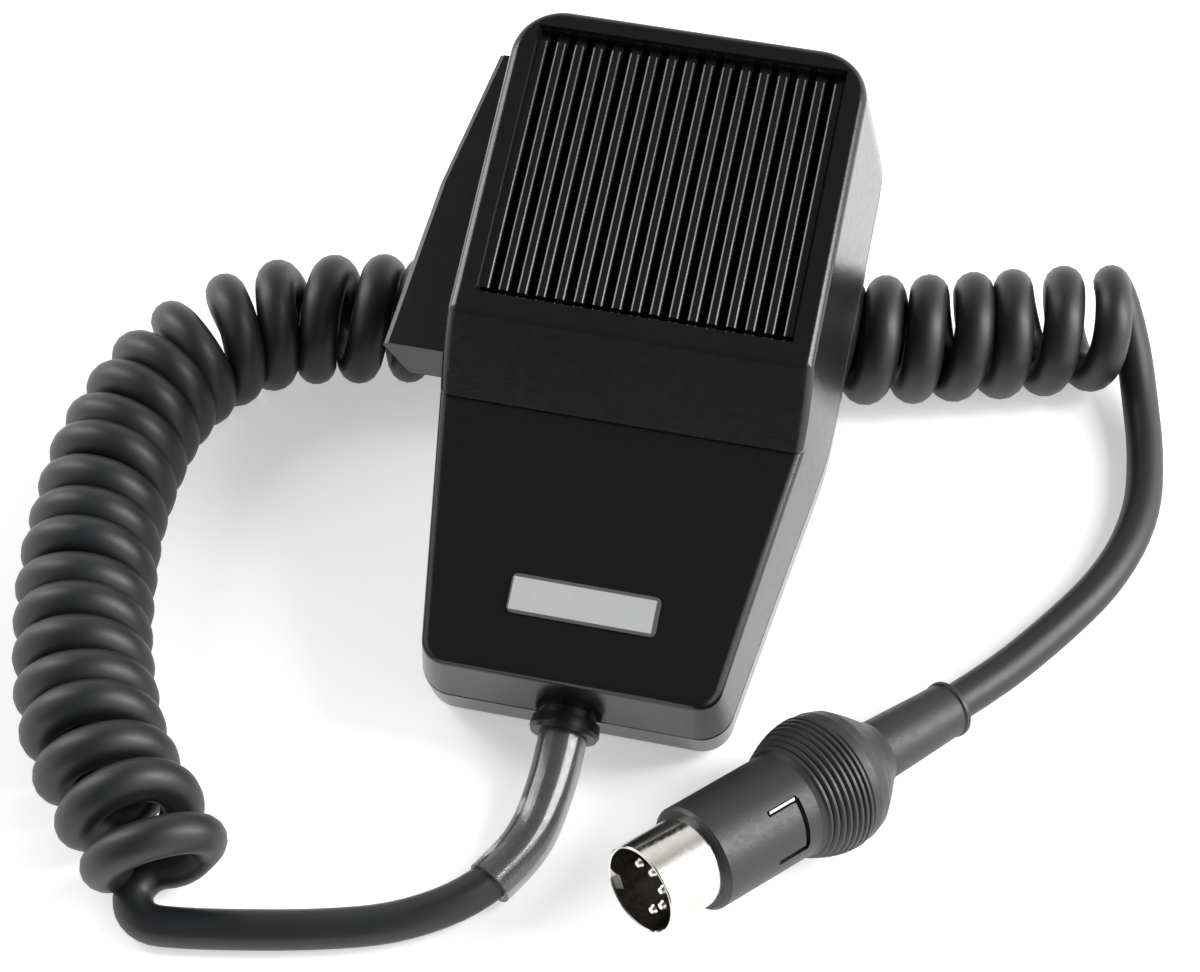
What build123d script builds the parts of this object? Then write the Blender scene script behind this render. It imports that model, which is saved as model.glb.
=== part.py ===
"""Hand microphone for a mobile radio, lying face up on its coiled cord, with a five-pin DIN plug.

The row frame has +Z up and the floor at Z = 0. The microphone's long axis points along +Y and its
bottom end rests on the floor, while its back leans on the coil, so the housing is modelled flat in
its own frame and then tilted. In the housing's own frame +x is to the right, +y runs from the cord
end to the head, +z comes out of the face, and z = 0 is the flat back. All lengths are millimetres.
"""
from build123d import *
import math
import os

os.makedirs("parts", exist_ok=True)

# ---------------------------------------------------------------- driving dimensions
# housing
LENGTH = 103.5            # cord end to head end, along the back
HEAD_HALF = 29.6          # half width at the head, on the parting line
FOOT_HALF = 22.6          # half width at the cord end
WAIST_Y = 47.0            # where the straight head sides turn into the tapered handle
DEPTH = 37.5              # back to the face of the head
PARTING = 11.5            # depth of the rear shell
FOOT_DEPTH = 22.3         # back to the line of the lower face, 8 mm before the cord end
STEP_Y = 40.5             # step across the face, where the neck starts
STEP_DEPTH = 27.7         # back to the face just below the step
STEP_RISE = 0.5
NECK_TOP_Y = 50.2         # lower edge of the head's face
DRAFT = 6.5               # degrees, front shell sides
REAR_DRAFT = 2.0          # degrees, rear shell sides
WALL = 2.0
EDGE_RADIUS = 1.4         # front shell's face edges
SEAM = 0.3                # bevels of the groove where the shells meet
BACK_RADIUS = 5.0         # rounded edge of the back
OVERHANG = 8.0            # how far cutting prisms reach past the housing
TILT = 18.5               # degrees, the housing leaning on the coil
HOUSING_XY = (3.94, -45.62)   # puts the origin at the bottom centre of the box round the microphone

# grille
RIB_COUNT = 17
RIB_PITCH = 2.79
RIB_WIDTH = 1.65
RIB_TOP = DEPTH - 0.7
RIB_ROUND = 0.5
RIB_DEPTH = 2.6
GRILLE_HALF = 22.9
GRILLE_Y = (53.9, 97.2)
BEZEL = 1.1
SCREEN_Z = (32.5, 32.9)
RIB_END_GAPS = (0.7, 1.8)   # between the ribs' tops and the frame round them, below and above

# capsule
CAPSULE_Y = 75.5
CAPSULE_R = 13.5
GASKET_R = 16.0

# push-to-talk lever and switch, on the left side
PIVOT = (-24.4, 92.4)     # x, y of the pin
LEVER_TRAVEL = 5.5        # degrees
LEVER_Z = (15.2, 25.8)
LEVER_FOOT = (-37.47, 47.9)
LEVER_MIDDLE = (-34.9, 75.0)
LEVER_HEAD = (-30.7, 97.6)
LEVER_INNER_X = -25.4
LEVER_SLANT = (3.2, 2.6, 1.6)   # how far its slanted outer side leans in towards the back, at foot, middle and head
LEVER_WALL = 1.7
SLOT_GAP = 0.5
FOOT_GAP = 1.3            # below the lever, whose foot dips as it swings in
PIN_RADIUS = 1.0
RUNNING_GAP = 0.06
NOSE_Y = 53.0
NOSE_X = -21.6
SWITCH_X = (-17.6, -8.6)
SWITCH_Z = (14.5, 25.5)
SWITCH_HALF_Y = 6.0
PLUNGER_R = 2.0
PLUNGER_Z = 20.5

# screws and posts
TOP_POST = (17.5, 97.6)
LOW_POST = (15.0, 20.0)
POST_R = 3.2
REAR_POST_R = 4.2
SCREW_R = 1.3
SCREW_HEAD_R = 2.7
BUTTON_Y = 42.0
BUTTON_R = 7.5
BUTTON_NECK_R = 4.0
BUTTON_NECK = 3.0
BUTTON_HEAD = 2.4

# cord
WIRE = 5.8                # cord diameter
WIRE_R = WIRE / 2
COIL_DIA = 20.8           # outer diameter of the curly part
COIL_R = COIL_DIA / 2
HELIX_R = COIL_R - WIRE_R
EXIT_X = -0.5
EXIT_DEPTH = 11.5         # height of the cord's hole above the back
GROMMET_HOLE_R = 4.3
SLEEVE_R = 3.6

# plug: a 13.2 mm DIN shell, measured from its rim backwards along its axis
SHELL_R = 6.6
SHELL_WALL = 0.45
SHELL_SHOWN = 9.6
SHELL_COVERED_R = 6.4     # the shell's narrower part, inside the cover
KEY_ANGLE = 322.0         # degrees round the axis
PIN_R = 0.725
PIN_CIRCLE_R = 3.5
COVER_R = 7.85
COLLAR_R = 10.35
COLLAR_S = 34.4           # largest ring
DOME_R = 10.15            # edge of the dome behind the rings, which rests on the floor
DOME_S = 37.0
DOME_END_S = 45.2
BOOT_END_S = 61.8
LATCH_ANGLES = (118, 172)   # round the cover, between which its latch tongue lies
LATCH_SIDE = -1           # the side of the tongue where the frame's catch shows
CORD_IN_PLUG_S = 44.0     # where the cord ends inside the cover
PLUG_PITCH = 12.0         # degrees, rim up
PLUG_HEADING = 52.3       # degrees from +X towards +Y, from the rim to the cord
PLUG_RIM_XY = (20.6, -79.8)

# ---------------------------------------------------------------- frames and helpers
tilt = math.radians(TILT)
FOOT_Y = 0.83             # how far in the rear shell's foot starts rounding
LIFT = BACK_RADIUS - (FOOT_Y + BACK_RADIUS) * math.sin(tilt) - BACK_RADIUS * math.cos(tilt)
HOUSING = Location((*HOUSING_XY, LIFT), (TILT, 0, 0))

pitch = math.radians(PLUG_PITCH)
heading = math.radians(PLUG_HEADING)
PLUG_AXIS = Vector(math.cos(pitch) * math.cos(heading), math.cos(pitch) * math.sin(heading), -math.sin(pitch))
PLUG_RIM_Z = DOME_R * math.cos(pitch) + DOME_S * math.sin(pitch)
PLUG_RIM = Vector(*PLUG_RIM_XY, PLUG_RIM_Z)
PLUG = Plane(origin=PLUG_RIM, x_dir=(-math.sin(heading), math.cos(heading), 0), z_dir=PLUG_AXIS).location


def keep(name, shapes, place=None):
    """Write one node's solids, placed in the row frame."""
    solids = []
    for shape in shapes if isinstance(shapes, list) else [shapes]:
        solids += list(shape.solids())
    if place is not None:
        solids = [place * solid for solid in solids]
    node = solids[0] if len(solids) == 1 else Compound(children=solids)
    export_step(node, f"parts/{name}.step")
    return node


def housing_point(x, y, z):
    """A point of the housing's own frame, in the row frame."""
    return tuple((HOUSING * Pos(x, y, z)).position)


def plug_point(s):
    """A point on the plug's axis, s behind the rim, in the row frame."""
    return tuple(PLUG_RIM + PLUG_AXIS * s)


def block(x, y, z):
    """A box from three (low, high) pairs."""
    size = [high - low for low, high in (x, y, z)]
    centre = [(high + low) / 2 for low, high in (x, y, z)]
    return Pos(*centre) * Box(*size)


def post(x, y, z, radius):
    """A round post along z, between a (low, high) pair."""
    return Pos(x, y, sum(z) / 2) * Cylinder(radius, z[1] - z[0])


def bar_x(x, y, z, radius):
    """A round bar along x, between a (low, high) pair."""
    return Pos(sum(x) / 2, y, z) * Rot(0, 90, 0) * Cylinder(radius, x[1] - x[0])


def bar_y(x, y, z, radius):
    """A round bar along y, between a (low, high) pair."""
    return Pos(x, sum(y) / 2, z) * Rot(90, 0, 0) * Cylinder(radius, y[1] - y[0])


def turned(profile):
    """A solid of revolution about z, from (radius, height) points."""
    face = make_face(Polyline(*[(r, 0, h) for r, h in profile], close=True))
    return revolve(face, axis=Axis.Z)


def mirrored_pair(x, y):
    return [(x, y), (-x, y)]


def outline(inset):
    """The housing's outline seen from the face, moved inwards by inset."""
    foot = FOOT_HALF - inset
    head = HEAD_HALF - inset
    low = 0.6 + inset
    high = LENGTH - inset
    corners = [(-foot, low), (foot, low), (head, WAIST_Y), (head, high), (-head, high), (-head, WAIST_Y)]
    foot_r = 5.0 - inset * 0.8
    head_r = 10.5 - inset
    return make_face(FilletPolyline(*corners, radius=[foot_r, foot_r, 60, head_r, head_r, 60], close=True))


def side_prism(points, half=60):
    """A prism right across the housing, from its side view as (y, z) points."""
    face = make_face(Polyline(*[(0, y, z) for y, z in points], close=True))
    return extrude(face, amount=half, dir=(1, 0, 0), both=True)


def below_face(drop):
    """Everything above the parting plane and below the face lowered by drop."""
    step_y = STEP_Y - drop * 0.2
    neck_y = NECK_TOP_Y - drop * 0.45
    low = PARTING - 1
    far = LENGTH + OVERHANG
    return side_prism([
        (-OVERHANG, low), (-OVERHANG, FOOT_DEPTH - drop), (step_y, STEP_DEPTH - drop),
        (step_y, STEP_DEPTH + STEP_RISE - drop), (neck_y, DEPTH - drop), (far, DEPTH - drop), (far, low)])


def face_height(y):
    """Depth of the lower face at y."""
    return FOOT_DEPTH + (STEP_DEPTH - FOOT_DEPTH) * (y + OVERHANG) / (STEP_Y + OVERHANG)


# ---------------------------------------------------------------- housing
def drafted(inset, z0, z1, draft):
    return Pos(0, 0, z0) * extrude(outline(inset), amount=z1 - z0, taper=draft)


def on_face_edge(edge):
    """True for the edges round the face and over the neck, but not those across the step."""
    middle = edge.center()
    crosses_step = abs(middle.X) < 1 and abs(middle.Y - STEP_Y) < 1
    stands = abs((edge @ 0).Z - (edge @ 1).Z) > 10 and middle.Z < 26
    return middle.Z > PARTING + 1 and not crosses_step and not stands


def front_shell():
    skin = drafted(0, PARTING, DEPTH + 2, DRAFT) & below_face(0)
    skin = fillet([e for e in skin.edges() if on_face_edge(e)], EDGE_RADIUS)
    skin = chamfer([e for e in skin.edges() if e.center().Z < PARTING + 0.01], SEAM)
    hollow = drafted(WALL, PARTING - 0.01, DEPTH + 2, DRAFT) & below_face(WALL)
    shell = skin - hollow

    window = block((-GRILLE_HALF, GRILLE_HALF), GRILLE_Y, (DEPTH - 6, DEPTH + 3))
    middle = sum(GRILLE_Y) / 2
    mouth = Pos(0, middle, DEPTH - BEZEL) * extrude(
        Rectangle(2 * GRILLE_HALF, GRILLE_Y[1] - GRILLE_Y[0]), amount=BEZEL + 1, taper=-18)
    shell = shell - window - mouth
    ribs = []
    for i in range(RIB_COUNT):
        x = (i - (RIB_COUNT - 1) / 2) * RIB_PITCH
        rib = block((x - RIB_WIDTH / 2, x + RIB_WIDTH / 2), (GRILLE_Y[0] - 1, GRILLE_Y[1] + 1),
                    (RIB_TOP - RIB_DEPTH, RIB_TOP))
        tops = [e for e in rib.edges() if e.center().Z > RIB_TOP - 0.01 and e.length > 10]
        ribs.append(fillet(tops, RIB_ROUND))
    ends = [block((-GRILLE_HALF, GRILLE_HALF), (GRILLE_Y[0], GRILLE_Y[0] + RIB_END_GAPS[0]), (RIB_TOP - 1.3, RIB_TOP + 1)),
            block((-GRILLE_HALF, GRILLE_HALF), (GRILLE_Y[1] - RIB_END_GAPS[1], GRILLE_Y[1]), (RIB_TOP - 1.3, RIB_TOP + 1))]
    shell = shell + ribs
    for gap in ends:
        shell = shell - gap

    posts = []
    for x, y in mirrored_pair(*TOP_POST):
        posts.append(post(x, y, (PARTING + 0.1, 30), POST_R) & drafted(0.5, PARTING, DEPTH, DRAFT))
    for x, y in mirrored_pair(*LOW_POST):
        posts.append(post(x, y, (PARTING + 0.1, face_height(y) - 1), POST_R))
    posts.append(post(*PIVOT, (LEVER_Z[1] + SLOT_GAP, 32.3), 2.6) & drafted(0.5, PARTING, DEPTH, DRAFT))
    shell = shell + posts
    for x, y in mirrored_pair(*TOP_POST) + mirrored_pair(*LOW_POST):
        shell = shell - post(x, y, (PARTING, 20), SCREW_R)
    shell = shell - post(*PIVOT, (LEVER_Z[1], 31), PIN_RADIUS)

    slot = block((-HEAD_HALF - 6, LEVER_INNER_X + 4), (LEVER_FOOT[1] - FOOT_GAP, LEVER_HEAD[1] + SLOT_GAP),
                 (LEVER_Z[0] - SLOT_GAP, LEVER_Z[1] + SLOT_GAP))
    shell = shell - slot
    return shell - bar_y(EXIT_X, (-5, 6), EXIT_DEPTH, GROMMET_HOLE_R)


def rear_shell():
    skin = Pos(0, 0, PARTING) * Rot(180, 0, 0) * extrude(
        mirror(outline(0), Plane.XZ), amount=PARTING, taper=REAR_DRAFT)
    skin = fillet([e for e in skin.edges() if e.center().Z < 0.01], BACK_RADIUS)
    skin = chamfer([e for e in skin.edges() if e.center().Z > PARTING - 0.01], SEAM)
    hollow = block((-40, 40), (-5, LENGTH + 5), (WALL, PARTING + 1)) & drafted(WALL, 0, PARTING + 1, -REAR_DRAFT)
    hollow = hollow & drafted(WALL + 0.6, 0, PARTING + 1, -14)
    shell = skin - hollow

    solid_posts = []
    for x, y in mirrored_pair(*TOP_POST) + mirrored_pair(*LOW_POST):
        solid_posts.append(post(x, y, (1, PARTING), REAR_POST_R) & drafted(0.8, 0, PARTING, -REAR_DRAFT))
    solid_posts.append(post(0, BUTTON_Y, (1, 9), 4))
    solid_posts.append(post(*PIVOT, (1, LEVER_Z[0] - SLOT_GAP), 2.2))
    for side in (-1, 1):
        y = NOSE_Y + side * (SWITCH_HALF_Y + 2)
        solid_posts.append(post(sum(SWITCH_X) / 2, y, (1, SWITCH_Z[0]), 2.4))
    solid_posts.append(block((EXIT_X - 8.5, EXIT_X + 8.5), (8.5, 13.5), (1, EXIT_DEPTH - 0.6)))
    shell = shell + solid_posts

    for x, y in mirrored_pair(*TOP_POST) + mirrored_pair(*LOW_POST):
        shell = shell - post(x, y, (-1, 5), SCREW_HEAD_R + 0.3)
        shell = shell - post(x, y, (4, PARTING + 1), SCREW_R + 0.3)
    shell = shell - post(0, BUTTON_Y, (-1, 8), SCREW_R)
    shell = shell - post(*PIVOT, (9.5, LEVER_Z[0]), PIN_RADIUS)
    for side in (-1, 1):
        y = NOSE_Y + side * (SWITCH_HALF_Y + 2)
        shell = shell - post(sum(SWITCH_X) / 2, y, (6, SWITCH_Z[0] + 1), 0.8)
        shell = shell - post(EXIT_X + side * 6, 11, (4, PARTING + 1), 0.9)
    shell = shell - bar_y(EXIT_X, (-5, 6), EXIT_DEPTH, GROMMET_HOLE_R)
    return shell - bar_y(EXIT_X, (7, 15), EXIT_DEPTH, WIRE_R)


def label_plate():
    plate = extrude(RectangleRounded(21.8, 5.8, 0.9), amount=0.35)
    slope = math.degrees(math.atan2(STEP_DEPTH - FOOT_DEPTH, STEP_Y + OVERHANG))
    y = 13.6
    return Pos(0.2, y, face_height(y)) * Rot(slope, 0, 0) * plate


def housing_screws():
    screws = []
    for x, y in mirrored_pair(*TOP_POST) + mirrored_pair(*LOW_POST):
        screws.append(post(x, y, (3.1, 5), SCREW_HEAD_R) + post(x, y, (4, 19), SCREW_R))
    return screws


def hang_button():
    low = -BUTTON_NECK - BUTTON_HEAD
    neck = [(SCREW_R + 0.2, 0), (BUTTON_NECK_R, 0), (BUTTON_NECK_R, -BUTTON_NECK)]
    head = [(BUTTON_R, -BUTTON_NECK), (BUTTON_R, low + 0.5), (BUTTON_R - 0.5, low)]
    seat = [(SCREW_HEAD_R + 0.2, low), (SCREW_HEAD_R + 0.2, low + 1.7), (SCREW_R + 0.2, low + 1.7)]
    return Pos(0, BUTTON_Y, 0) * turned(neck + head + seat)


def button_screw():
    low = -BUTTON_NECK - BUTTON_HEAD
    return post(0, BUTTON_Y, (low + 0.1, low + 1.7), SCREW_HEAD_R) + post(0, BUTTON_Y, (low + 1.6, 8), SCREW_R)


# ---------------------------------------------------------------- capsule
def dust_screen():
    return block((-23.9, 23.9), (52.6, 98.4), SCREEN_Z) & drafted(WALL + 0.1, PARTING, DEPTH, DRAFT)


def mic_capsule():
    can = post(0, CAPSULE_Y, (22.5, 30.6), CAPSULE_R) + post(0, CAPSULE_Y, (30.6, 31.4), CAPSULE_R - 2.5)
    boss = post(0, CAPSULE_Y, (20.6, 22.5), 5)
    return can + boss


def capsule_gasket():
    ring = post(0, CAPSULE_Y, (26, SCREEN_Z[0]), GASKET_R) - post(0, CAPSULE_Y, (25, 30.6), CAPSULE_R)
    return ring - post(0, CAPSULE_Y, (30, 34), CAPSULE_R - 2.5)


# ---------------------------------------------------------------- lever and switch
def lever_section(y, outer, foot, wall):
    """The lever's section at one end: a slanted outer side, rounded where fingers press."""
    z0, z1 = LEVER_Z[0] + wall, LEVER_Z[1] - wall
    outer, foot = outer + wall * 1.1, foot + wall * 1.1
    inner = LEVER_INNER_X + (6 if wall else 0)
    corners = [(inner, z0), (foot, z0), (foot - 0.6, z0 + 0.5), (outer + 0.3, z1 - 2.0), (outer, z1 - 1.1),
               (outer + 0.25, z1 - 0.4), (outer + 0.9, z1), (inner, z1)]
    return Plane(origin=(0, y, 0), x_dir=(1, 0, 0), z_dir=(0, -1, 0)) * make_face(Polyline(*corners, close=True))


def lever_form(wall):
    foot, middle, head = LEVER_SLANT
    ends = ((LEVER_FOOT[0], LEVER_FOOT[1] + wall, foot), (LEVER_MIDDLE[0], LEVER_MIDDLE[1], middle),
            (LEVER_HEAD[0], LEVER_HEAD[1] - wall, head))
    return loft([lever_section(y, x, x + slant, wall) for x, y, slant in ends], ruled=True)


def ptt_lever():
    z0, z1 = LEVER_Z
    body = lever_form(0)
    lever = body - lever_form(LEVER_WALL)
    ears = post(*PIVOT, (z0, z0 + 3), 2.9) + post(*PIVOT, (z1 - 3, z1), 2.9)
    webs = [block((-31.2, PIVOT[0]), (PIVOT[1] - 1.2, PIVOT[1] + 1.2), (z, z + 3)) & body for z in (z0, z1 - 3)]
    nose = block((-36.2, NOSE_X - 1.6), (NOSE_Y - 1.8, NOSE_Y + 1.8), (18.4, 22.6))
    nose = nose & block((-36.2, LEVER_INNER_X + 1), (NOSE_Y - 1.8, NOSE_Y + 1.8), (18.4, 22.6)) & body \
        + block((LEVER_INNER_X - 0.5, NOSE_X - 1.6), (NOSE_Y - 1.8, NOSE_Y + 1.8), (18.4, 22.6))
    tip = Pos(NOSE_X - 1.8, NOSE_Y, PLUNGER_Z) * Cylinder(1.8, 4.2)
    stop = block((LEVER_INNER_X, LEVER_INNER_X + 1.4), (LEVER_FOOT[1], LEVER_FOOT[1] + 1.7), (14, 27))
    lever = lever + ears + webs + nose + tip + stop
    return lever - post(*PIVOT, (z0 - 1, z1 + 1), PIN_RADIUS + RUNNING_GAP)


def ptt_pin():
    return post(*PIVOT, (9.5, 31), PIN_RADIUS)


def ptt_spring():
    """A torsion spring: three turns round the pin, with one leg down the lever and one inwards."""
    wire_r = 0.3
    coil_r = 1.75
    turn = 0.72
    z0 = 18.9
    base = Helix(pitch=turn, height=3 * turn, radius=coil_r)
    coil = sweep(Plane(origin=base @ 0, z_dir=base % 0) * Circle(wire_r), path=base, is_frenet=True)
    inward = Pos(coil_r, 0, 0) * Rot(90, 0, 0) * Pos(0, 0, 3.5) * Cylinder(wire_r, 7)
    down = Pos(coil_r, 0, 3 * turn) * Rot(-90, 0, 0) * Pos(0, 0, 2) * Cylinder(wire_r, 4)
    return [Pos(*PIVOT, z0) * (coil + inward + down)]


def switch_body():
    body = block(SWITCH_X, (NOSE_Y - SWITCH_HALF_Y, NOSE_Y + SWITCH_HALF_Y), SWITCH_Z)
    reach = SWITCH_HALF_Y + 4.4
    ears = block(SWITCH_X, (NOSE_Y - reach, NOSE_Y + reach), (SWITCH_Z[0], SWITCH_Z[0] + 2))
    body = body + ears - bar_x((SWITCH_X[0] - 1, -11.4), NOSE_Y, PLUNGER_Z, PLUNGER_R + RUNNING_GAP)
    for side in (-1, 1):
        y = NOSE_Y + side * (SWITCH_HALF_Y + 2)
        body = body - post(sum(SWITCH_X) / 2, y, (SWITCH_Z[0] - 1, SWITCH_Z[0] + 3), 1.0)
    return body


def switch_screws():
    x = sum(SWITCH_X) / 2
    z = SWITCH_Z[0] + 2
    ys = [NOSE_Y + side * (SWITCH_HALF_Y + 2) for side in (-1, 1)]
    return [post(x, y, (z, z + 1.2), 1.7) + post(x, y, (6.5, z), 0.8) for y in ys]


def switch_plunger():
    return bar_x((NOSE_X + 0.3, -16), NOSE_Y, PLUNGER_Z, PLUNGER_R)


def switch_terminals():
    x = SWITCH_X[1]
    return [block((x, x + 3), (y - 0.8, y + 0.8), (z - 0.3, z + 0.3))
            for y in (NOSE_Y - 4, NOSE_Y, NOSE_Y + 4) for z in (18, 22.5)]


# ---------------------------------------------------------------- inside wiring and cord anchor
def cord_clamp():
    bar = block((EXIT_X - 8.5, EXIT_X + 8.5), (8.5, 13.5), (EXIT_DEPTH + 0.6, EXIT_DEPTH + 4.6))
    bar = bar - bar_y(EXIT_X, (7, 15), EXIT_DEPTH, WIRE_R)
    for side in (-1, 1):
        bar = bar - post(EXIT_X + side * 6, 11, (EXIT_DEPTH, EXIT_DEPTH + 6), 1.1)
    return bar


def clamp_screws():
    z = EXIT_DEPTH + 4.6
    return [post(EXIT_X + side * 6, 11, (z, z + 1.3), 1.9) + post(EXIT_X + side * 6, 11, (4.5, z), 0.9)
            for side in (-1, 1)]


def routed(points, radius, bend):
    """A wire of the given radius along straight runs with round corners."""
    path = FilletPolyline(*points, radius=bend)
    start = Plane(origin=path @ 0, z_dir=path % 0)
    return sweep(start * Circle(radius), path=path)


def lead_wires():
    """Four conductors from the cord's end to the switch."""
    wires = []
    for i, (y, z) in enumerate(((NOSE_Y - 4, 18), (NOSE_Y - 4, 22.5), (NOSE_Y, 18), (NOSE_Y, 22.5))):
        x = EXIT_X + (i - 1.5) * 1.3
        low = 9.6 if z < 20 else 12.6
        end_x = SWITCH_X[1] + 3.3
        wires.append(routed([(x, 15.2, EXIT_DEPTH), (x, 22, low + 2), (x + 1.5, y - 4, z), (end_x, y, z)], 0.55, 2))
    return wires


def capsule_wires():
    """Two thin wires from the switch to the tabs of the capsule."""
    wires = []
    for side, z in ((-1, 18.0), (1, 22.5)):
        y = NOSE_Y + 4
        x = SWITCH_X[1] + 3.3
        end = (side * 2.0, CAPSULE_Y - 2, 20.5)
        wires.append(routed([(x, y, z), (x + 3 + side, y + 4, z - 4), (end[0], CAPSULE_Y - 4, 15), end], 0.4, 1.5))
    return wires


def grommet():
    bush = turned([(SLEEVE_R, -2.4), (4.9, -2.4), (5.2, -1.7), (5.0, -0.2), (GROMMET_HOLE_R, 0.0),
                   (GROMMET_HOLE_R, 3.0), (5.2, 3.0), (5.2, 4.6), (SLEEVE_R, 4.6)])
    return Pos(EXIT_X, 0, EXIT_DEPTH) * Rot(-90, 0, 0) * bush


# ---------------------------------------------------------------- cord
# from the clamp, out of the grommet, along the floor, and round a tight turn into the coil
LEAD_ROUTE = [
    housing_point(EXIT_X, 15, EXIT_DEPTH), housing_point(EXIT_X, -9.5, EXIT_DEPTH),
    (2.2, -67.6, 4.2), (-3.0, -77.0, 3.7), (-12.8, -83.7, 3.0), (-24.1, -87.2, 2.9), (-34.6, -89.5, 2.9),
    (-42.6, -91.0, 2.9), (-48.6, -91.6, 2.9), (-51.4, -87.6, 3.4), (-49.4, -83.4, 4.0),
    (-44.8, -82.6, 5.0), (-42.2, -81.0, 7.6)]
# the axis of the curly part, on the floor and under the housing
COIL_ROUTE = [
    (-45.6, -86.6, COIL_R), (-53.5, -78.6, COIL_R), (-60.6, -70.6, COIL_R), (-66.4, -60.2, COIL_R),
    (-71.5, -45.4, COIL_R), (-74.5, -29.6, COIL_R), (-75.3, -13.1, COIL_R), (-71.7, 2.9, COIL_R),
    (-60.6, 15.0, COIL_R), (-43.6, 19.4, COIL_R), (-23.6, 23.7, COIL_R), (-0.1, 26.6, COIL_R),
    (20.9, 29.0, COIL_R), (38.9, 32.6, COIL_R), (56.9, 38.0, COIL_R), (74.4, 43.7, COIL_R)]
# from inside the plug, along the floor, up and over the coil's last turn
TAIL_ROUTE = [
    plug_point(CORD_IN_PLUG_S), plug_point(BOOT_END_S + 6.5), (70.4, -14.2, 2.9), (78.0, -1.6, 2.9),
    (81.6, 11.5, 2.9), (80.9, 23.8, 2.9), (78.7, 34.0, 4.0), (76.3, 42.0, 7.4), (72.8, 49.0, 11.5),
    (68.0, 51.0, 13.8)]


def corner_radii(route):
    """0.45 of the shorter run at each corner, divided by the tangent of half the turn."""
    points = [Vector(*p) for p in route]
    radii = []
    for before, here, after in zip(points, points[1:], points[2:]):
        shorter = min((here - before).length, (after - here).length)
        turn = math.radians((here - before).get_angle(after - here))
        radii.append(0.45 * shorter / math.tan(turn / 2))
    return radii


def tube(name, route, radius, bore=0.0):
    """A tube of tangent arcs along a route, compared with its section times its length."""
    radii = corner_radii(route)
    path = FilletPolyline(*route, radius=radii)
    start = Plane(origin=path @ 0, z_dir=path % 0)
    section = start * (Circle(radius) - Circle(bore) if bore else Circle(radius))
    solid = sweep(section, path=path)
    area = math.pi * (radius ** 2 - bore ** 2)
    print(name, "length", round(path.length, 1), "volume ratio", round(solid.volume / (area * path.length), 4),
          "radii", [round(r, 1) for r in radii])
    return solid


def clear_sleeve():
    """A clear tube over the cord's first stretch, held in the grommet."""
    radii = corner_radii(LEAD_ROUTE)[:2]
    end = Vector(*LEAD_ROUTE[2]) * 0.2 + Vector(*LEAD_ROUTE[3]) * 0.8
    points = [housing_point(EXIT_X, 4.6, EXIT_DEPTH), LEAD_ROUTE[1], LEAD_ROUTE[2], tuple(end)]
    path = FilletPolyline(*points, radius=radii)
    start = Plane(origin=path @ 0, z_dir=path % 0)
    return sweep(start * (Circle(SLEEVE_R) - Circle(WIRE_R)), path=path)


# ---------------------------------------------------------------- plug
def polar(radius, degrees, s):
    angle = math.radians(degrees)
    return Pos(radius * math.cos(angle), radius * math.sin(angle), s)


def plug_shell():
    inner = SHELL_R - SHELL_WALL
    shell = turned([(inner, 0.15), (inner + 0.15, 0), (SHELL_R - 0.15, 0), (SHELL_R, 0.15),
                    (SHELL_R, SHELL_SHOWN), (SHELL_COVERED_R, SHELL_SHOWN), (SHELL_COVERED_R, 16), (inner, 16)])
    key = Rot(0, 0, KEY_ANGLE) * block((inner - 1.0, inner + 0.1), (-1.1, 1.1), (1.0, 8.4))
    return shell + key


def plug_insulator():
    disc = Pos(0, 0, 10.75) * Cylinder(SHELL_R - SHELL_WALL, 4.5)
    for angle in pin_angles():
        disc = disc - polar(PIN_CIRCLE_R, angle, 10.75) * Cylinder(PIN_R, 6)
    return disc


def pin_angles():
    """Five pins on a half circle, opposite the key."""
    return [KEY_ANGLE + 180 + step * 45 for step in (-2, -1, 0, 1, 2)]


def plug_pins():
    pin = turned([(0, 0.9), (0.45, 0.9), (PIN_R, 1.4), (PIN_R, 17), (0, 17)])
    return [polar(PIN_CIRCLE_R, angle, 0) * pin for angle in pin_angles()]


def latch_place():
    """The latch tongue's width round the cover, and the frame in its middle."""
    low, high = LATCH_ANGLES
    return math.radians(high - low) * COVER_R, Rot(0, 0, (low + high) / 2) * Pos(COVER_R, 0, 0) * Rot(0, 90, 0)


def plug_frame():
    """The metal half shell behind the insulator, with its crimp round the cord."""
    tray = turned([(5.5, 16.2), (6.1, 16.2), (6.1, 31), (5.5, 31)])
    crimp = turned([(WIRE_R + 0.05, 38.5), (3.7, 38.5), (3.7, 43.5), (WIRE_R + 0.05, 43.5)])
    back = turned([(WIRE_R + 0.5, 31), (6.1, 31), (6.1, 31.6), (WIRE_R + 0.5, 31.6)])
    strap = block((3.0, 3.6), (-0.9, 0.9), (31.3, 39))
    span, frame = latch_place()
    catch = frame * (Pos(-22.1, LATCH_SIDE * span / 2, -2.2) * Box(4.8, 0.44, 2.1))
    return tray + back + crimp + strap + catch


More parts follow.
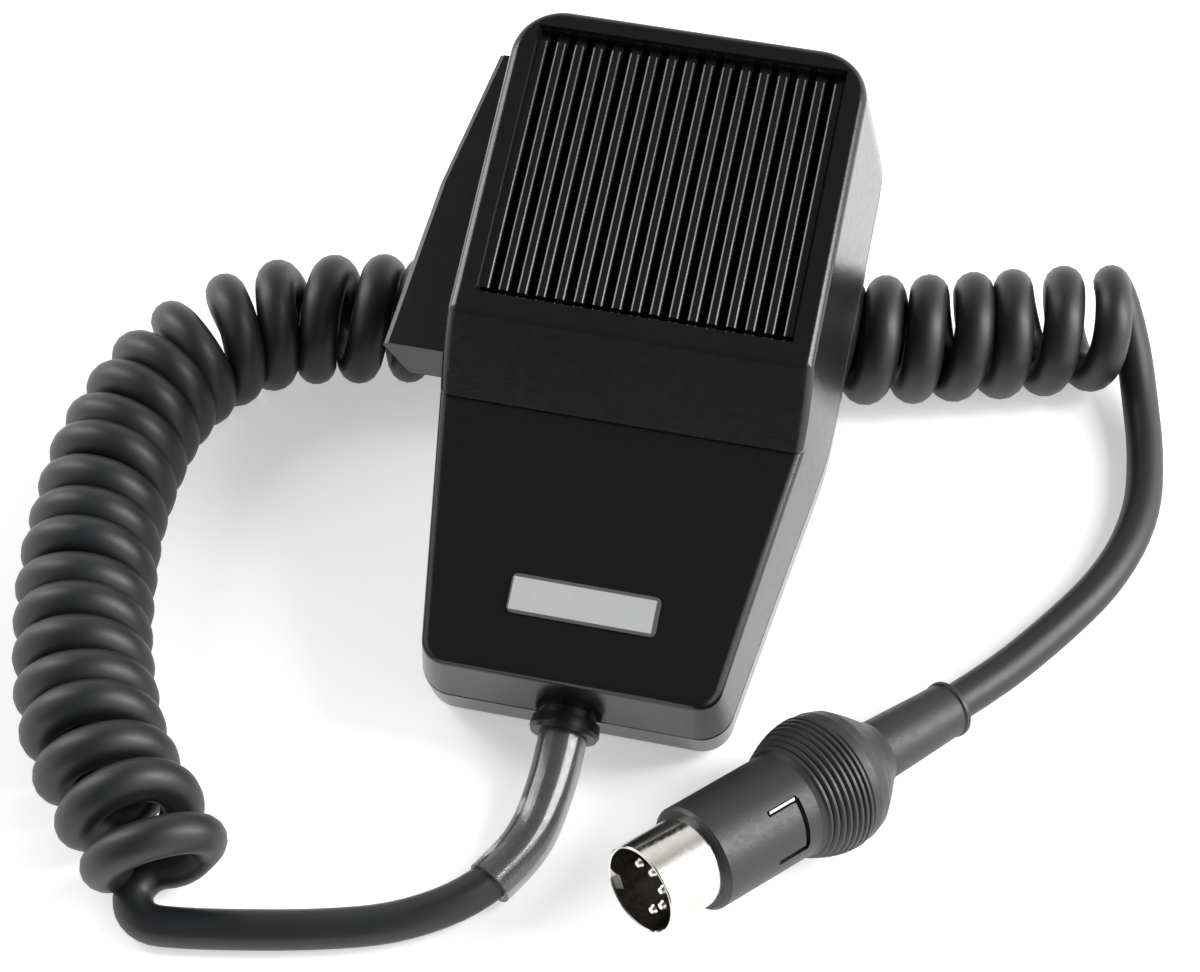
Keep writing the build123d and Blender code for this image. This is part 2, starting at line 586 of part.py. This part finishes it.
def plug_cover():
    """The moulded cover: front sleeve, ribbed collar and the dome behind it."""
    profile = [(SHELL_COVERED_R + 0.02, SHELL_SHOWN), (COVER_R - 0.4, SHELL_SHOWN), (COVER_R, SHELL_SHOWN + 0.5), (COVER_R, 27.4)]
    rings = 8
    first = 28.2
    step = (COLLAR_S + 1.0 - first) / rings
    for i in range(rings):
        rise = math.sin(math.pi / 2 * (i + 1) / rings)
        crest = COVER_R + 0.35 + (COLLAR_R - COVER_R - 0.35) * rise
        s = first + i * step
        profile += [(crest - 0.45, s), (crest, s + step * 0.25), (crest, s + step * 0.7), (crest - 0.45, s + step * 0.9)]
    profile += [(COLLAR_R - 0.15, 35.6), (COLLAR_R - 0.2, 37.0), (9.6, 38.9), (8.3, 40.8), (6.9, 42.6), (5.6, 44.2),
                (5.0, DOME_END_S), (4.62, DOME_END_S), (4.62, 43.6), (3.75, 43.5), (3.75, 38.0),
                (SHELL_COVERED_R + 0.02, 34.0)]
    cover = turned(profile)
    span, frame = latch_place()
    gap = 0.8
    slots = [Pos(-22, side * span / 2, -1) * Box(5.6, gap, 4.6) for side in (-1, 1)]
    slots.append(Pos(-24.6, 0, 0) * Box(gap, span, 4.6))
    for slot in slots:
        cover = cover - frame * slot
    return cover


def plug_boot():
    return turned([(WIRE_R + 0.05, 43.7), (4.6, 43.7), (4.6, 46.5), (4.1, 60.6), (4.35, 60.9), (4.35, 61.5),
                   (4.1, BOOT_END_S), (WIRE_R + 0.05, BOOT_END_S)])


# ---------------------------------------------------------------- nodes
HOUSED = {
    "front_shell": front_shell, "rear_shell": rear_shell, "label_plate": label_plate,
    "housing_screws": housing_screws, "hang_button": hang_button, "hang_button_screw": button_screw,
    "dust_screen": dust_screen, "mic_capsule": mic_capsule, "capsule_gasket": capsule_gasket,
    "ptt_lever": ptt_lever, "ptt_pivot_pin": ptt_pin, "ptt_spring": ptt_spring,
    "switch_body": switch_body, "switch_screws": switch_screws, "switch_plunger": switch_plunger,
    "switch_terminals": switch_terminals, "cord_clamp": cord_clamp, "cord_clamp_screws": clamp_screws,
    "lead_wires": lead_wires, "capsule_wires": capsule_wires, "cord_grommet": grommet}
ON_PLUG = {
    "plug_shell": plug_shell, "plug_insulator": plug_insulator, "plug_pins": plug_pins,
    "plug_frame": plug_frame, "plug_cover": plug_cover, "plug_boot": plug_boot}

for node_name, make in HOUSED.items():
    keep(node_name, make(), HOUSING)
for node_name, make in ON_PLUG.items():
    keep(node_name, make(), PLUG)
keep("cord_sleeve", clear_sleeve())
keep("cord_lead", tube("cord_lead", LEAD_ROUTE, WIRE_R))
keep("cord_coil", tube("cord_coil", COIL_ROUTE, COIL_R))
keep("cord_tail", tube("cord_tail", TAIL_ROUTE, WIRE_R))
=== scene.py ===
"""The looks of the hand microphone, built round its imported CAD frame, in metres."""

import math

import bmesh
import bpy
from mathutils import Matrix, Vector


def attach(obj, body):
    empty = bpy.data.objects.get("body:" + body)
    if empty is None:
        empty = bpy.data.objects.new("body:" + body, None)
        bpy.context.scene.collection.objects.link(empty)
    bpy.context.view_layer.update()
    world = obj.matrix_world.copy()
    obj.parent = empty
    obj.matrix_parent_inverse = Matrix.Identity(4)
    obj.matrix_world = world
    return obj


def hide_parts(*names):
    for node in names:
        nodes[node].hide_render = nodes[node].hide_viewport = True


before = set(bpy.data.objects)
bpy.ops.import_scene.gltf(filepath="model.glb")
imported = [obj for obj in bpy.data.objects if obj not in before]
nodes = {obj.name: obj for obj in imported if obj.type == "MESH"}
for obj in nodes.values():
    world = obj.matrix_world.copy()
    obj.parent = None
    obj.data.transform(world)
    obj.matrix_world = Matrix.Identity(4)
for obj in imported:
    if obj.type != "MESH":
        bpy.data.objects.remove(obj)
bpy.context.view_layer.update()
MM = 0.001

# ---------------------------------------------------------------- the part's own places, as in part.py
TILT = math.radians(18.5)
HOUSING_AT = Vector((3.94, -45.62, -1.5915)) * MM
PLUG_RIM = Vector((20.6, -79.8, 17.6213)) * MM
PLUG_PITCH = math.radians(12)
PLUG_HEADING = math.radians(52.3)
WIRE_DIAMETER = 5.8 * MM
COIL_AXIS_HEIGHT = 10.4
HELIX_RADIUS = 7.2 * MM
COIL_WIRE_SCALE = 1.1      # the cord is a little thicker where it is coiled

housing_matrix = Matrix.Translation(HOUSING_AT) @ Matrix.Rotation(TILT, 4, "X")
plug_axis = Vector((math.cos(PLUG_PITCH) * math.cos(PLUG_HEADING),
                    math.cos(PLUG_PITCH) * math.sin(PLUG_HEADING), -math.sin(PLUG_PITCH)))


def housing_point(x, y, z):
    return housing_matrix @ Vector((x * MM, y * MM, z * MM))


def plug_point(s):
    return PLUG_RIM + plug_axis * (s * MM)


def at(x, y, z):
    return Vector((x * MM, y * MM, z * MM))


def link(name, data):
    o = bpy.data.objects.new(name, data)
    bpy.context.scene.collection.objects.link(o)
    return o


def aim(o, target):
    o.rotation_euler = (target - o.location).to_track_quat("-Z", "Y").to_euler()


# ---------------------------------------------------------------- camera
camera = link("camera", bpy.data.cameras.new("camera"))
camera.data.lens = 90
camera.data.sensor_width = 36
camera.location = at(60.743, -287.305, 371.739)
aim(camera, at(-2.753, 1.492, 0))
camera.data.clip_start, camera.data.clip_end = 0.01, 10
bpy.context.scene.camera = camera


# ---------------------------------------------------------------- node materials
class Shade:
    """A material with its shader, and short ways to add nodes to it."""

    def __init__(self, name, colour, roughness, **sockets):
        self.material = bpy.data.materials.new(name)
        self.material.use_nodes = True
        self.tree = self.material.node_tree
        self.shader = self.tree.nodes["Principled BSDF"]
        self.shader.inputs["Base Color"].default_value = (*colour, 1)
        self.shader.inputs["Roughness"].default_value = roughness
        for key, value in sockets.items():
            self.shader.inputs[key.replace("_", " ")].default_value = value
        self.height = None
        self.coords = self.add("ShaderNodeTexCoord").outputs["Object"]

    def add(self, kind, **inputs):
        node = self.tree.nodes.new(kind)
        for key, value in inputs.items():
            socket = node.inputs[key.replace("_", " ")]
            if isinstance(value, bpy.types.NodeSocket):
                self.tree.links.new(value, socket)
            else:
                socket.default_value = value
        return node

    def math(self, operation, a, b=0.0):
        node = self.add("ShaderNodeMath")
        node.operation = operation
        for socket, value in zip(node.inputs, (a, b)):
            if isinstance(value, bpy.types.NodeSocket):
                self.tree.links.new(value, socket)
            else:
                socket.default_value = value
        return node.outputs[0]

    def noise(self, scale, detail=3.0, roughness=0.55, vector=None):
        node = self.add("ShaderNodeTexNoise", Scale=scale, Detail=detail, Roughness=roughness)
        self.tree.links.new(vector or self.coords, node.inputs["Vector"])
        return node.outputs["Fac"]

    def axis(self, direction):
        """How far a place on the piece lies along a direction, in metres."""
        node = self.add("ShaderNodeVectorMath")
        node.operation = "DOT_PRODUCT"
        self.tree.links.new(self.coords, node.inputs[0])
        node.inputs[1].default_value = direction
        return node.outputs["Value"]

    def ramp(self, value, low, high, from_low=0.3, from_high=0.7):
        node = self.add("ShaderNodeMapRange")
        self.tree.links.new(value, node.inputs["Value"])
        for key, v in zip(("From Min", "From Max", "To Min", "To Max"), (from_low, from_high, low, high)):
            node.inputs[key].default_value = v
        return node.outputs["Result"]

    def mix(self, factor, a, b):
        node = self.add("ShaderNodeMix")
        node.data_type = "RGBA"
        for socket, value in zip((node.inputs[0], node.inputs[6], node.inputs[7]), (factor, a, b)):
            if isinstance(value, bpy.types.NodeSocket):
                self.tree.links.new(value, socket)
            elif isinstance(value, tuple):
                socket.default_value = (*value, 1)
            else:
                socket.default_value = value
        return node.outputs[2]

    def colour(self, socket):
        self.tree.links.new(socket, self.shader.inputs["Base Color"])
        return self

    def rough(self, socket):
        self.tree.links.new(socket, self.shader.inputs["Roughness"])
        return self

    def bump(self, value, distance, strength=1.0):
        node = self.add("ShaderNodeBump", Strength=strength, Distance=distance, Height=value)
        if self.height is not None:
            self.tree.links.new(self.height, node.inputs["Normal"])
        self.height = node.outputs["Normal"]
        self.tree.links.new(self.height, self.shader.inputs["Normal"])
        return self


def moulded(name, colour, roughness, grain=0.000012, spread=0.025, **sockets):
    """Moulded plastic: a fine spark texture, faint flow marks and dust."""
    s = Shade(name, colour, roughness, **sockets)
    dust = s.noise(900, 2, 0.6)
    marks = s.noise(60, 4, 0.6)
    s.colour(s.mix(s.ramp(marks, 0.0, 0.08), colour, tuple(c * 1.5 + 0.002 for c in colour)))
    s.rough(s.math("ADD", s.ramp(dust, roughness - spread, roughness + spread), s.ramp(marks, -0.008, 0.008)))
    s.bump(s.noise(2600, 2, 0.5), grain)
    s.bump(s.noise(30, 1, 0.4), 0.00002, 0.1)
    return s.material


def metal(name, colour, roughness, **sockets):
    s = Shade(name, colour, roughness, Metallic=1.0, **sockets)
    fine = s.noise(1800, 2, 0.5)
    stains = s.noise(180, 4, 0.65)
    s.colour(s.mix(s.ramp(stains, 0.0, 0.6), colour, tuple(c * 0.72 for c in colour)))
    s.rough(s.ramp(fine, roughness - 0.05, roughness + 0.09))
    s.bump(fine, 0.000006)
    return s.material


black = moulded("housing_abs", (0.0048, 0.0052, 0.0048), 0.21)
lever_black = moulded("lever_abs", (0.0035, 0.0038, 0.0038), 0.36)
cord_rubber = moulded("cord_rubber", (0.0078, 0.0088, 0.0098), 0.46, grain=0.000012)
grommet_rubber = moulded("grommet_rubber", (0.006, 0.006, 0.006), 0.3)
plug_plastic = moulded("plug_plastic", (0.014, 0.0145, 0.0155), 0.46,
                       grain=0.00003, spread=0.05)
insulator = moulded("insulator_phenolic", (0.02, 0.02, 0.016), 0.45)
cloth = moulded("screen_cloth", (0.004, 0.004, 0.004), 0.9)
nickel = metal("nickel_plate", (0.78, 0.75, 0.70), 0.14)
steel = metal("zinc_steel", (0.62, 0.62, 0.63), 0.3)
tinned = metal("tinned_brass", (0.72, 0.66, 0.5), 0.3)
clear_vinyl = moulded("clear_vinyl", (0.5, 0.51, 0.52), 0.16, grain=0.000006, spread=0.03,
                      Transmission_Weight=0.9, IOR=1.48)
LABEL_HALF = 10.9         # half its width
LABEL_Y = (10.7, 16.4)
LABEL_BORDER = 0.45
capsule_can = metal("capsule_can", (0.6, 0.6, 0.6), 0.3)
acetal = moulded("plunger_acetal", (0.6, 0.59, 0.55), 0.4)
laminate = moulded("brown_laminate", (0.12, 0.055, 0.025), 0.5)
foam = moulded("gasket_foam", (0.01, 0.01, 0.01), 0.85)
wires = moulded("wire_pvc", (0.35, 0.03, 0.025), 0.4)


def label_face():
    """Blank satin silver with a thin grey border, worked out from where it lies on the face."""
    s = Shade("label_foil", (0.5, 0.505, 0.505), 0.34, Metallic=0.2)
    middle = housing_point(0, (LABEL_Y[0] + LABEL_Y[1]) / 2, 0)
    across = s.math("ABSOLUTE", s.math("SUBTRACT", s.axis((1, 0, 0)), middle.x))
    up_face = Vector((0, math.cos(TILT), math.sin(TILT)))
    up = s.math("ABSOLUTE", s.math("SUBTRACT", s.axis(up_face), middle.dot(up_face)))
    edge = s.math("MAXIMUM", s.math("GREATER_THAN", across, (LABEL_HALF - LABEL_BORDER) * MM),
                  s.math("GREATER_THAN", up, ((LABEL_Y[1] - LABEL_Y[0]) / 2 - LABEL_BORDER) * MM))
    brushed = s.noise(500, 2, 0.5)
    face = s.mix(s.ramp(brushed, 0.0, 0.35), (0.5, 0.505, 0.505), (0.44, 0.445, 0.45))
    s.colour(s.mix(edge, face, (0.1, 0.1, 0.1)))
    s.rough(s.ramp(s.noise(1500), 0.3, 0.4))
    s.bump(brushed, 0.000004)
    return s.material


foil = label_face()

# ---------------------------------------------------------------- the cord
LEAD = [
    housing_point(-0.5, 15, 11.5), housing_point(-0.5, -9.5, 11.5),
    at(2.2, -67.6, 4.2), at(-3.0, -77.0, 3.7), at(-12.8, -83.7, 3.0), at(-24.1, -87.2, 2.9),
    at(-34.6, -89.5, 2.9), at(-42.6, -91.0, 2.9), at(-48.6, -91.6, 2.9), at(-51.4, -87.6, 3.4),
    at(-49.4, -83.4, 4.0), at(-44.8, -82.6, 5.0)]
COIL = [at(x, y, COIL_AXIS_HEIGHT) for x, y in (
    (-45.6, -86.6), (-53.5, -78.6), (-60.6, -70.6), (-66.4, -60.2), (-71.5, -45.4), (-74.5, -29.6),
    (-75.3, -13.1), (-71.7, 2.9), (-60.6, 15.0), (-43.6, 19.4), (-23.6, 23.7), (-0.1, 26.6),
    (20.9, 29.0), (38.9, 32.6), (56.9, 38.0), (74.4, 43.7))]
TAIL = [
    at(72.8, 49.0, 11.5), at(76.3, 42.0, 7.4), at(78.7, 34.0, 4.0), at(80.9, 23.8, 2.9), at(81.6, 11.5, 2.9),
    at(78.0, -1.6, 2.9), at(70.4, -14.2, 2.9), plug_point(68.3), plug_point(44)]
FIRST_TURN_AT = 1.3       # along the coil's axis, where the wire is at its right side
TURNS_START = -0.06
TURNS = 35.4
POINTS_A_TURN = 16
FIRST_TURN_LEAN = 2.8 * MM
FIRST_TURN_SAG = 0.14
UNEVEN_LEAN = 0.5 * MM
UNEVEN_WIDTH = 0.012
# how closely the turns lie, as (distance along the axis, distance between turns)
PITCHES = [(-2, 7.8), (14, 8.2), (28, 6.4), (36, 5.9), (92, 6.2), (102, 8.0), (126, 7.8), (143, 7.4),
           (205, 7.35), (212, 7.0), (234, 7.0), (240, 8.0), (252, 7.8)]


def nurbs(name, points, bevel=0.0, resolution=8, thickness=None):
    data = bpy.data.curves.new(name, "CURVE")
    data.dimensions = "3D"
    spline = data.splines.new("NURBS")
    spline.points.add(len(points) - 1)
    for p, co in zip(spline.points, points):
        p.co = (*co, 1)
    for p, scale in zip(spline.points, thickness or ()):
        p.radius = scale
    spline.order_u = 3
    spline.use_endpoint_u = True
    data.resolution_u = resolution
    data.bevel_depth = bevel
    data.bevel_resolution = 6
    return link(name, data)


def line_of(points):
    """The smooth line through a route, as points read from its spline."""
    guide = nurbs("guide", points, resolution=24)
    bpy.context.view_layer.update()
    mesh = bpy.data.meshes.new_from_object(guide.evaluated_get(bpy.context.evaluated_depsgraph_get()))
    line = [v.co.copy() for v in mesh.vertices]
    bpy.data.meshes.remove(mesh)
    bpy.data.objects.remove(guide)
    return line


def lookup(table, x):
    for (x0, y0), (x1, y1) in zip(table, table[1:]):
        if x <= x1:
            return y0 + (y1 - y0) * max(0.0, x - x0) / (x1 - x0)
    return table[-1][1]


def along(line):
    """A function giving the point and direction at a distance along a line."""
    lengths = [0.0]
    for a, b in zip(line, line[1:]):
        lengths.append(lengths[-1] + (b - a).length)

    def place(s):
        i = 0
        while i < len(line) - 2 and lengths[i + 1] < s:
            i += 1
        direction = (line[i + 1] - line[i]).normalized()
        return line[i] + direction * (s - lengths[i]), direction

    return place


def helix_points():
    """The curly part: a left-handed helix round the axis, with turns that are not all alike."""
    place = along(line_of(COIL))
    step = 1 / POINTS_A_TURN
    radius = HELIX_RADIUS / math.cos(math.pi / POINTS_A_TURN)
    points = []
    turn = TURNS_START
    s = FIRST_TURN_AT + turn * PITCHES[0][1]
    while turn < TURNS:
        centre, direction = place(s * MM)
        right = Vector((direction.y, -direction.x, 0))
        angle = 2 * math.pi * turn
        opening = max(0.0, 1 - turn)                # the first turn leans outwards as it unwinds
        lean = -FIRST_TURN_LEAN * math.sin(angle) * opening
        lean += UNEVEN_LEAN * math.sin(turn * 2.4) * math.sin(angle)
        swell = 1 + UNEVEN_WIDTH * math.sin(turn * 1.7 + 1)
        height = radius * math.sin(angle) * (1 - FIRST_TURN_SAG * opening * (math.sin(angle) > 0))
        points.append(centre + right * (radius * swell * math.cos(angle)) + direction * lean
                      + Vector((0, 0, height)))
        turn += step
        s += lookup(PITCHES, s) * step
    return points


turns = helix_points()
cord_line = LEAD + turns + TAIL
swelling = [1 + (COIL_WIRE_SCALE - 1) * min(1, i / POINTS_A_TURN, (len(turns) - 1 - i) / POINTS_A_TURN)
            for i in range(len(turns))]
cord = nurbs("cord", cord_line, WIRE_DIAMETER / 2, 5, [1] * len(LEAD) + swelling + [1] * len(TAIL))
cord.data.materials.append(cord_rubber)
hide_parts("cord_lead", "cord_coil", "cord_tail")
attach(cord, "housing")

# ---------------------------------------------------------------- light and floor
FLOOR_HALF = 3
floor = link("floor", bpy.data.meshes.new("floor"))
bm = bmesh.new()
bmesh.ops.create_grid(bm, x_segments=1, y_segments=1, size=FLOOR_HALF)
bm.to_mesh(floor.data)
bm.free()
paper = Shade("paper", (0.86, 0.86, 0.86), 0.9,
              Emission_Color=(1, 1, 1, 1), Emission_Strength=0.45)
paper.bump(paper.noise(300), 0.00001)
floor.data.materials.append(paper.material)

world = bpy.data.worlds.new("studio")
bpy.context.scene.world = world
world.use_nodes = True
sky = world.node_tree
part_of = sky.nodes.new("ShaderNodeSeparateXYZ")
sky.links.new(sky.nodes.new("ShaderNodeTexCoord").outputs["Generated"], part_of.inputs[0])


def wall(axis, start, full, strength):
    """A wall of the studio that grows brighter between two directions."""
    node = sky.nodes.new("ShaderNodeMapRange")
    node.interpolation_type = "SMOOTHSTEP"
    for key, value in (("From Min", start), ("From Max", full), ("To Min", 0.0), ("To Max", strength)):
        node.inputs[key].default_value = value
    sky.links.new(part_of.outputs[axis], node.inputs["Value"])
    return node.outputs["Result"]


def added(a, b):
    node = sky.nodes.new("ShaderNodeMath")
    for socket, value in zip(node.inputs, (a, b)):
        if isinstance(value, bpy.types.NodeSocket):
            sky.links.new(value, socket)
        else:
            socket.default_value = value
    return node.outputs[0]


# white walls at both sides and behind, dark overhead and in front
DARK = 0.14
sides = added(wall("X", 0.3, 0.75, 1.6), wall("X", -0.45, -0.85, 1.0))
walls = added(sides, wall("Y", 0.35, 0.9, 0.9))
sky.links.new(added(walls, DARK), sky.nodes["Background"].inputs["Strength"])
sky.nodes["Background"].inputs["Color"].default_value = (1, 1, 1, 1)


def softbox(name, where, target, size, watts):
    light = link(name, bpy.data.lights.new(name, "AREA"))
    light.data.shape = "RECTANGLE"
    light.data.size, light.data.size_y = size
    light.data.energy = watts
    light.location = where
    aim(light, target)
    return light


centre = at(0, 0, 20)
SOFTBOX_SIZE = (0.3, 0.9)
softbox("left", Vector((-0.85, 0.25, 0.6)), centre, SOFTBOX_SIZE, 5.5)
softbox("right", Vector((0.85, 0.1, 0.6)), centre, SOFTBOX_SIZE, 12)
bpy.context.scene.view_settings.view_transform = "Standard"

# ---------------------------------------------------------------- materials on the CAD nodes
LOOKS = {
    "front_shell": black, "rear_shell": black, "ptt_lever": lever_black, "label_plate": foil,
    "housing_screws": steel, "hang_button": nickel, "hang_button_screw": steel, "dust_screen": cloth,
    "mic_capsule": capsule_can, "capsule_gasket": foam, "ptt_pivot_pin": steel, "ptt_spring": steel,
    "switch_body": laminate, "switch_screws": steel, "switch_plunger": acetal, "switch_terminals": tinned,
    "cord_clamp": laminate, "cord_clamp_screws": steel, "lead_wires": wires, "capsule_wires": wires,
    "cord_grommet": grommet_rubber, "cord_sleeve": clear_vinyl, "plug_shell": nickel,
    "plug_insulator": insulator, "plug_pins": nickel, "plug_frame": nickel, "plug_cover": plug_plastic,
    "plug_boot": plug_plastic}
for name, material in LOOKS.items():
    mesh = nodes[name].data
    mesh.materials.clear()
    mesh.materials.append(material)
